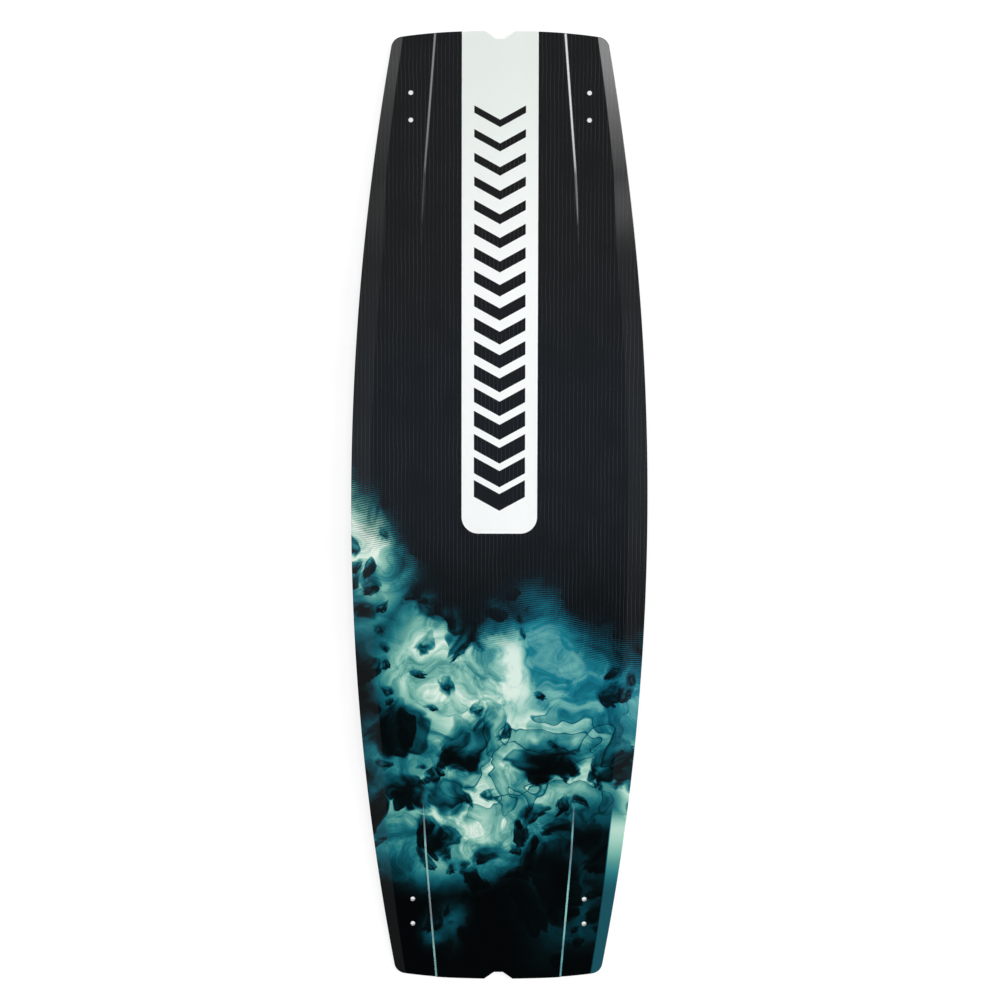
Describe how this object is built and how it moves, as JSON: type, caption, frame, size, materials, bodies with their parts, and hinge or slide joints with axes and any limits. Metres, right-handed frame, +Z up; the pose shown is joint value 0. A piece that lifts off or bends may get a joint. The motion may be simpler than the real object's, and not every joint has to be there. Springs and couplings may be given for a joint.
{
  "type": "kiteboard",
  "caption": "Twin-tip kiteboard: thin arched plank with notched tips, channel steps in a glossy printed base, bevelled rails, fin screw holes and blind inserts in the deck.",
  "frame": {"origin": "on the ground under the board's centre, with the board lying deck down on its two tips", "axes": "+X across the board, +Y along it towards the tip with the pale band, +Z up, out of the base"},
  "size_m": [0.4244, 1.3798, 0.0374],
  "materials": {
    "base_print": "printed under a clear glossy sheet: near-black with a pale centre band, and a teal and cream ink cloud over the other half",
    "laminate": "resin-soaked glass fibre",
    "deck_print": "satin sheet, near-black with fine lines",
    "rail_plastic": "machined ABS, satin black",
    "core_wood": "planed paulownia",
    "plug_plastic": "drilled ABS, white",
    "insert_steel": "turned stainless steel"
  },
  "bodies": {
    "root": {"base_sheet": "base_print", "base_laminate": "laminate", "deck_laminate": "laminate", "deck_sheet": "deck_print", "rail_left": "rail_plastic", "rail_right": "rail_plastic", "tip_rail_front": "rail_plastic", "tip_rail_rear": "rail_plastic", "core_strip_1": "core_wood", "core_strip_2": "core_wood", "core_strip_3": "core_wood", "core_strip_4": "core_wood", "core_strip_5": "core_wood", "core_strip_6": "core_wood", "core_strip_7": "core_wood", "core_strip_8": "core_wood", "core_strip_9": "core_wood", "fin_plug_front_left_1": "plug_plastic", "fin_plug_front_left_2": "plug_plastic", "fin_plug_front_right_1": "plug_plastic", "fin_plug_front_right_2": "plug_plastic", "fin_plug_rear_left_1": "plug_plastic", "fin_plug_rear_left_2": "plug_plastic", "fin_plug_rear_right_1": "plug_plastic", "fin_plug_rear_right_2": "plug_plastic", "binding_insert_front_left_1": "insert_steel", "binding_insert_front_left_2": "insert_steel", "binding_insert_front_left_3": "insert_steel", "binding_insert_front_left_4": "insert_steel", "binding_insert_front_right_1": "insert_steel", "binding_insert_front_right_2": "insert_steel", "binding_insert_front_right_3": "insert_steel", "binding_insert_front_right_4": "insert_steel", "binding_insert_rear_left_1": "insert_steel", "binding_insert_rear_left_2": "insert_steel", "binding_insert_rear_left_3": "insert_steel", "binding_insert_rear_left_4": "insert_steel", "binding_insert_rear_right_1": "insert_steel", "binding_insert_rear_right_2": "insert_steel", "binding_insert_rear_right_3": "insert_steel", "binding_insert_rear_right_4": "insert_steel", "handle_insert_front": "insert_steel", "handle_insert_rear": "insert_steel"}
  },
  "joints": []
}
